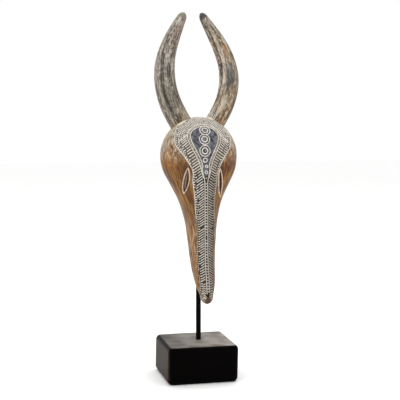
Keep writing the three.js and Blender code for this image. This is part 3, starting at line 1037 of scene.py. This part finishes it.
def upright(low, high):
    """A straight line up the middle of the snout."""
    return [(PATTERN_MIDDLE, up) for up in np.linspace(low, high, 240)]


def short_guides(places):
    """Guides just long enough for one dab at each place."""
    return [([(across, up), (across, up + 1)], False) for across, up in places]


def make_pattern(paint):
    dabs, dab_ids = dab_tree()
    lines, line_ids = line_tree()

    def lay(name, guides, pitch, length, width, missing, seed):
        values = dict(Pitch=pitch * MM, Length=length * MM, Width=width * MM,
                      Thickness=PAINT_THICKNESS * MM, Missing=missing, Seed=seed, Paint=paint)
        guide = guide_mesh(name + "_guides", guides, -PAINT_THICKNESS)
        grown_piece(name, guide, dabs, dab_ids, values)

    def draw(name, guides, radius):
        values = dict(Radius=radius * MM, Step=0.8 * MM, Unevenness=0.5, Paint=paint)
        guide = guide_mesh(name + "_guides", guides, -1.1 * radius)
        grown_piece(name, guide, lines, line_ids, values)

    def double_rings(radius):
        return [(circle(PATTERN_MIDDLE + across, up, radius), True) for across, up in RING_CENTRES]

    draw("painted_slanting_strokes", side_strokes(-1) + side_strokes(1), 0.53)
    lay("painted_crown_strokes", crown_rows(), 2.3, 1.9, 2.9, 0.04, 12)
    lay("painted_rungs", edge_line(RUNG_INSET, PATTERN_FOOT), RUNG_PITCH, 1.9, 2.9, 0.05, 13)
    lay("painted_middle_rungs", [(upright(MIDDLE_FOOT + 1, 276), False)], 3.7, 1.7, 3.2, 0.05, 16)
    lay("painted_dots_round_field", [(field_lines(LINE_GAP / 2, 284), False)], 2.2, 1.6, 1.5, 0.02, 14)
    draw("painted_border", edge_line(BORDER_INSET, BORDER_FOOT), 0.6)
    snout_border = edge_sides(SNOUT_BORDER_INSET, PATTERN_FOOT, BORDER_FOOT)
    lay("painted_snout_border", snout_border, 2.7, 2.2, 1.4, 0.06, 17)
    around = [(field_lines(0.0, 290), False), (field_lines(LINE_GAP, 276), False)]
    draw("painted_lines_round_field", around, 0.55)
    snout = [(middle_line(side, MIDDLE_FOOT), False) for side in (-1, 1)]
    draw("painted_snout_lines", snout, 0.52)
    draw("painted_outer_rings", double_rings(RING_OUTER), 0.55)
    draw("painted_inner_rings", double_rings(RING_INNER), 0.75)
    small = [(circle(PATTERN_MIDDLE + across, up, radius), True) for across, up, radius in SMALL_RINGS]
    draw("painted_small_rings", small, 0.6)
    hearts = short_guides([(PATTERN_MIDDLE + across + 0.4, up) for across, up in RING_CENTRES])
    lay("painted_ring_hearts", hearts, 5.0, 1.5, 1.5, 0.0, 15)
    lay("painted_notch_dab", short_guides([(-0.7, NOTCH_Z + 4.9)]), 5.0, 2.4, 1.8, 0.0, 18)


# Horns


def horn_point(horn, corner):
    return np.array([ROD_X + horn["side"] * corner[0], corner[1], corner[2]], float)


def horn_frames(horn, along):
    """Centres, ways, fronts and lefts of a horn's sections at shares along of its length."""
    corners = [horn_point(horn, c) for c in HORN_CURVE]
    fine = np.linspace(0, 1, 2001)[:, None]
    weights = ((1 - fine) ** 3, 3 * (1 - fine) ** 2 * fine, 3 * (1 - fine) * fine**2, fine**3)
    path = sum(w * c for w, c in zip(weights, corners))
    run = np.concatenate([[0], np.cumsum(np.linalg.norm(np.diff(path, axis=0), axis=1))])
    centre = np.stack([np.interp(along * run[-1], run, path[:, i]) for i in range(3)], 1)
    way = np.gradient(path, axis=0)
    way /= np.linalg.norm(way, axis=1, keepdims=True)
    way = np.stack([np.interp(along * run[-1], run, way[:, i]) for i in range(3)], 1)
    # Before its root a horn goes on straight down into the head.
    centre = centre + np.minimum(along, 0)[:, None] * run[-1] * way
    front = np.array([0, -1.0, 0]) + way * way[:, 1:2]
    front /= np.linalg.norm(front, axis=1, keepdims=True)
    return centre, way, front, np.cross(front, way), run[-1]


def wrapped(angle):
    """An angle brought to between minus and plus half a turn."""
    return (angle + math.pi) % (2 * math.pi) - math.pi


def horn_radius(horn, along):
    taper = horn["thickness"] / 2 * (1 - horn["taper"] * np.maximum(along, 0) ** horn["power"])
    past = np.clip((along - 1 + HORN_BLUNTNESS) / HORN_BLUNTNESS, 0, 1)
    return taper * np.sqrt(1 - past**2)


def inside_head(points):
    half, depth, middle, squareness = head_section(points[..., 2])
    level = (points[..., 2] > SNOUT_TIP) & (points[..., 2] < CROWN)
    x = np.abs(points[..., 0] - ROD_X) / np.maximum(half, 1e-6)
    y = np.abs(points[..., 1] - middle) / np.maximum(depth, 1e-6)
    return level & (x**squareness + y**squareness < 1)


def horn_foot(horn, along, turn):
    """Where each line along the horn leaves the head."""
    centre, _, front, left, _ = horn_frames(horn, along)
    radius = horn_radius(horn, along)
    lines = centre[:, None] + radius[:, None, None] * (
        np.cos(turn)[None, :, None] * front[:, None] + np.sin(turn)[None, :, None] * left[:, None])
    hidden = inside_head(lines)
    last = hidden.shape[0] - 1 - np.argmax(hidden[::-1], axis=0)
    return np.where(hidden.any(axis=0), along[last], along[0])


def groove_shares(horn, line, angle):
    """How deep the groove dips along a line of the horn, its dark stain and the pale ridge beside it."""
    main = np.radians(horn["groove"][0] + (horn["groove"][1] - horn["groove"][0]) * line)
    apart = wrapped(angle - main)
    strength = np.sqrt(np.abs(np.sin(math.pi * np.clip((line - GROOVE_FROM) / GROOVE_RUN, 0, 1))))
    dip = strength * np.clip(1 - np.abs(apart) / GROOVE_HALF_ANGLE, 0, 1)
    apart = apart + 0.05 * np.sin(11 * line + 2)
    groove = strength * np.exp(-((apart / (0.55 * GROOVE_HALF_ANGLE)) ** 2))
    ridge = strength * np.exp(-(((apart + horn["ridge"]) / (0.9 * GROOVE_HALF_ANGLE)) ** 2))
    return dip, groove, ridge


def rasp_depth(rasp, line, angle):
    """How deep the broken marks of the rasp are along a line of the horn."""
    marks = np.zeros_like(line)
    for where, width, depth in rasp:
        drift = wrapped(where + 0.25 * np.sin(2.4 * line + where) - angle)
        broken = smooth(-0.3, 0.4, np.sin(9 * line + 5 * where))
        marks += depth * broken * np.exp(-((drift / width) ** 2))
    return marks * smooth(0, 0.03, 1 - line)


def make_horn(name, material, sides=120, steps=280):
    horn = HORNS[name]
    turn = np.linspace(0, 2 * math.pi, sides, endpoint=False)
    foot = horn_foot(horn, np.linspace(-0.1, 0.4, 500), turn)
    tip = 1 - HORN_BLUNTNESS * (1 - np.sin(np.linspace(0, math.pi / 2, 22)))[:-1]
    share = np.concatenate([np.linspace(0, 1, steps, endpoint=False) * (1 - HORN_BLUNTNESS), tip])
    # Every line along the horn starts just inside the head's surface and ends at the tip.
    start = foot - 0.006
    along = start[None, :] + (HORN_END - start[None, :]) * share[:, None]
    points = np.zeros((*along.shape, 3))
    groove, ridge = np.zeros((2, *along.shape))
    rng = np.random.default_rng(21 + horn["side"])
    rasp = [
        (rng.uniform(0, 2 * math.pi), rng.uniform(0.05, 0.11), rng.uniform(0.2, 0.6))
        for _ in range(RASP_MARKS)
    ]
    for k, angle in enumerate(turn):
        line = along[:, k]
        centre, _, front, left, _ = horn_frames(horn, line)
        dip, groove[:, k], ridge[:, k] = groove_shares(horn, line, angle)
        radius = horn_radius(horn, line)
        radius = radius - GROOVE_DEPTH * dip - rasp_depth(rasp, line, angle) * radius / RASP_RADIUS
        points[:, k] = centre + radius[:, None] * (math.cos(angle) * front + math.sin(angle) * left)
    uneven = (waves(points.reshape(-1, 3), 30, 5).reshape(along.shape) - 1) * 0.2
    centre, _, _, _, length = horn_frames(horn, along.mean(1))
    outward = points - centre[:, None]
    outward /= np.maximum(np.linalg.norm(outward, axis=-1, keepdims=True), 1e-9)
    points = points + outward * uneven[..., None]
    base, top = horn_frames(horn, np.array([float(start.mean()), HORN_END]))[0]
    body, faces = loft(list(points[:, ::-1]), base, top)
    piece = make_object(name + "_wood", body, faces)
    size = horn["thickness"] / 2
    flow = np.stack([size * np.cos(turn) + 0 * along, size * np.sin(turn) + 0 * along, along * length], -1)
    side = np.sin(turn)[None, :] + 0 * along
    for label, values, ends in (
        ("along", along, (0, 1)),
        ("groove", groove, (0, 0)),
        ("ridge", ridge, (0, 0)),
        ("side", side, (0, 0)),
    ):
        add_attribute(piece, label, np.concatenate([values[:, ::-1].ravel(), ends]))
    flow = np.concatenate([flow[:, ::-1].reshape(-1, 3), [(0, 0, 0), (0, 0, length)]])
    add_attribute(piece, "flow", flow, "FLOAT_VECTOR")
    return finish_piece(piece, material, name)


def make_filler(name, material, sides=10, steps=160):
    """A wiped bead of filler where a horn meets the head, fuller and paler on one side."""
    horn = HORNS[name]
    turn = np.linspace(0, 2 * math.pi, steps, endpoint=False)
    foot = horn_foot(horn, np.linspace(-0.1, 0.4, 2000), turn)
    path = np.zeros((steps, 3))
    outward = np.zeros((steps, 3))
    for k, angle in enumerate(turn):
        centre, _, front, left, _ = horn_frames(horn, foot[k : k + 1])
        out = math.cos(angle) * front[0] + math.sin(angle) * left[0]
        path[k] = centre[0] + horn_radius(horn, foot[k]) * out
        outward[k] = out
    tangent = np.roll(path, -1, 0) - np.roll(path, 1, 0)
    tangent /= np.linalg.norm(tangent, axis=1, keepdims=True)
    outward -= (outward * tangent).sum(1)[:, None] * tangent
    outward /= np.linalg.norm(outward, axis=1, keepdims=True)
    rise = np.cross(outward, tangent)
    fresh = np.exp(-((wrapped(turn - horn["filled"]) / 0.6) ** 2))
    radius = 0.4 + 0.15 * waves(path, 9, 8 + horn["side"]) + 1.3 * fresh
    rings = [path + radius[:, None] * (math.cos(a) * outward + math.sin(a) * rise)
             for a in np.linspace(0, 2 * math.pi, sides, endpoint=False)]
    points = np.stack(rings, 1).reshape(-1, 3)
    piece = make_object(name + "_filler", points, grid_faces(steps, sides, closed_rows=True))
    add_attribute(piece, "fresh", np.repeat(fresh, sides))
    return finish_piece(piece, material)


# Stand


def make_block(material, divisions=44):
    """The block: a cube grid drawn in to rounded edges, with the slight waves of hand sanding."""
    size = block_high - block_low
    size[0] -= BLOCK_LEAN
    middle = (block_low + block_high) / 2
    points, index, faces = [], {}, []
    ticks = np.linspace(-1, 1, divisions + 1)
    ticks = np.sign(ticks) * np.abs(ticks) ** 0.6

    def corner(place):
        key = tuple(np.round(place, 6))
        if key not in index:
            index[key] = len(points)
            points.append(place)
        return index[key]

    for axis in range(3):
        for sign in (-1, 1):
            a, b = (axis + 1) % 3, (axis + 2) % 3
            for i in range(divisions):
                for j in range(divisions):
                    face = []
                    for u, v in ((i, j), (i + 1, j), (i + 1, j + 1), (i, j + 1)):
                        place = np.zeros(3)
                        place[axis], place[a], place[b] = sign, ticks[u], ticks[v]
                        face.append(corner(place))
                    faces.append(tuple(face if sign > 0 else face[::-1]))
    unit = np.array(points)
    full = unit * size / 2
    core = np.clip(full, -(size / 2 - BLOCK_EDGE_RADIUS), size / 2 - BLOCK_EDGE_RADIUS)
    out = full - core
    length = np.linalg.norm(out, axis=1, keepdims=True)
    rounded = core + out / np.maximum(length, 1e-9) * BLOCK_EDGE_RADIUS
    wave = (waves(rounded, 45, 4) - 1.5) * BLOCK_WAVE * (rounded[:, 2] > 1 - size[2] / 2)
    rounded += out / np.maximum(length, 1e-9) * wave[:, None]
    rounded[:, 0] += BLOCK_LEAN * rounded[:, 2] / size[2]
    piece = make_object("painted_block", rounded + middle, faces)
    return finish_piece(piece, material, "base")


def make_rod(material, sides=40, steps=90):
    """The rod, with the slight ripple of paint brushed on by hand."""
    turn = np.linspace(0, 2 * math.pi, sides, endpoint=False)
    rings = []
    for z in np.linspace(rod_low[2], rod_high[2], steps):
        ring = np.stack([ROD_X + ROD_RADIUS * np.cos(turn), ROD_RADIUS * np.sin(turn), z + 0 * turn], 1)
        ripple = 0.06 * (waves(ring, 11, 9) - 1)
        ring[:, 0] += ripple * np.cos(turn)
        ring[:, 1] += ripple * np.sin(turn)
        rings.append(ring)
    points, faces = loft(rings, np.array([ROD_X, 0, rod_low[2]]), np.array([ROD_X, 0, rod_high[2]]))
    piece = make_object("painted_rod", points, faces)
    return finish_piece(piece, material, "rod")


# Studio


def make_floor(material):
    reach = 6.0
    mesh = bpy.data.meshes.new("studio_floor")
    corners = [(-reach, -reach, 0), (reach, -reach, 0), (reach, reach, 0), (-reach, reach, 0)]
    mesh.from_pydata(corners, [], [(0, 1, 2, 3)])
    mesh.materials.append(material)
    floor = bpy.data.objects.new("studio_floor", mesh)
    bpy.context.scene.collection.objects.link(floor)


def area_light(name, place, aim, size, watts):
    light = bpy.data.lights.new(name, "AREA")
    light.shape = "RECTANGLE"
    light.size, light.size_y = size
    light.energy = watts
    lamp = bpy.data.objects.new(name, light)
    lamp.location = place
    lamp.rotation_euler = (Vector(aim) - Vector(place)).to_track_quat("-Z", "Y").to_euler()
    bpy.context.scene.collection.objects.link(lamp)


def make_world():
    world = bpy.data.worlds.new("soft_white_studio")
    world.use_nodes = True
    background = world.node_tree.nodes["Background"]
    background.inputs["Color"].default_value = (1, 1, 1, 1)
    background.inputs["Strength"].default_value = 1.0
    bpy.context.scene.world = world


def make_camera():
    """The photograph's view: a little left of the front and a little above, on a long lens."""
    azimuth, elevation = math.radians(-13.3), math.radians(4.9)
    distance, aim_height, sideways = 1.364, 0.2435, 0.0056
    back = Vector((math.sin(azimuth) * math.cos(elevation), -math.cos(azimuth) * math.cos(elevation),
                   math.sin(elevation)))
    right = Vector((math.cos(azimuth), math.sin(azimuth), 0))
    data = bpy.data.cameras.new("photo_camera")
    data.sensor_width = 36
    data.lens = 90
    data.clip_start = 0.05
    camera = bpy.data.objects.new("photo_camera", data)
    camera.location = Vector((0, 0, aim_height)) + right * sideways + back * distance
    camera.rotation_euler = (-back).to_track_quat("-Z", "Y").to_euler()
    bpy.context.scene.collection.objects.link(camera)
    bpy.context.scene.camera = camera


LEFT_HORN_TONES = dict(mid="7C7367", warm="6B5E4B", cream="CBC3B8", pale="A69B8E", dark="3B3128",
                       groove="1E1712", tip="77735F", ridge=0.25)
# Stains: from and to along the horn, from its left and to its right as the sine of the turn to
# the viewer's left, tone and strength
LEFT_HORN_BANDS = [
    (-0.2, 0.28, 1.2, -0.1, "6A5232", 0.85),
    (-0.2, 0.22, -0.1, -1.2, "9C8F7A", 0.6),
    (0.16, 0.46, 1.2, -1.2, "544F42", 0.85),
    (0.42, 0.6, 0.3, -0.6, "8B878A", 0.6),
    (0.7, 0.93, 0.1, -1.2, "7E5F48", 0.6),
]
LEFT_HORN_STAINS = [
    (0.1, 0.42, 1.2, -1.2, "544C3A", 0.4),
    (0.16, 0.25, 0.7, 0.1, "3E3A2E", 0.75),
    (0.88, 0.93, 0.6, 0.2, "E4DED2", 0.8),
    (0.02, 0.16, -0.3, -1.2, "AFA28D", 0.5),
]
RIGHT_HORN_TONES = dict(mid="878072", warm="7A664A", cream="D8C8B4", pale="ABA192", dark="3F2F20",
                        groove="281D13", tip="323236", ridge=0.9)
RIGHT_HORN_BANDS = [
    (-0.2, 0.2, 0.2, -1.2, "B08A62", 0.7),
    (-0.2, 0.12, 1.2, 0.2, "D8D2C4", 0.7),
    (0.2, 0.33, 0.3, -0.7, "94794F", 0.7),
    (0.34, 0.5, -0.3, -1.2, "7A5D44", 0.7),
    (0.54, 0.7, 0.3, -0.6, "98713F", 0.85),
    (0.7, 0.8, 0.3, -0.6, "7E7445", 0.7),
    (0.8, 0.95, 1.2, -0.5, "5B5950", 0.8),
]
RIGHT_HORN_STAINS = [
    (0.14, 0.32, 1.2, -1.2, "7C6546", 0.35),
    (0.33, 0.5, 0.6, -0.32, "444448", 0.95),
    (0.34, 0.46, -0.45, -1.2, "5C4A36", 0.6),
    (0.1, 0.3, -0.6, -1.2, "46341F", 0.85),
    (0.58, 0.66, 0.15, -0.45, "9C7040", 0.6),
    (0.14, 0.24, 0.6, 0.2, "DDCFB6", 0.6),
]


make_block(black_wood_material())
make_rod(black_rod_material())
make_head(head_material(), rim_material())
make_pattern(paint_material())
grey_wood = horn_material(
    "weathered_grey_horn_wood", LEFT_HORN_TONES, LEFT_HORN_BANDS, LEFT_HORN_STAINS)
tan_wood = horn_material(
    "weathered_tan_horn_wood", RIGHT_HORN_TONES, RIGHT_HORN_BANDS, RIGHT_HORN_STAINS)
make_horn("left_horn", grey_wood)
make_horn("right_horn", tan_wood)
filler = filler_material()
make_filler("left_horn", filler)
make_filler("right_horn", filler)

make_floor(floor_material())
make_world()
area_light("key_softbox", (-1.3, -1.2, 1.5), (0, 0, 0.25), (1.2, 1.2), 7)
area_light("top_softbox", (0.3, 0.5, 1.9), (0, 0, 0.2), (1.6, 1.6), 15)
make_camera()
bpy.context.scene.view_settings.view_transform = "Standard"
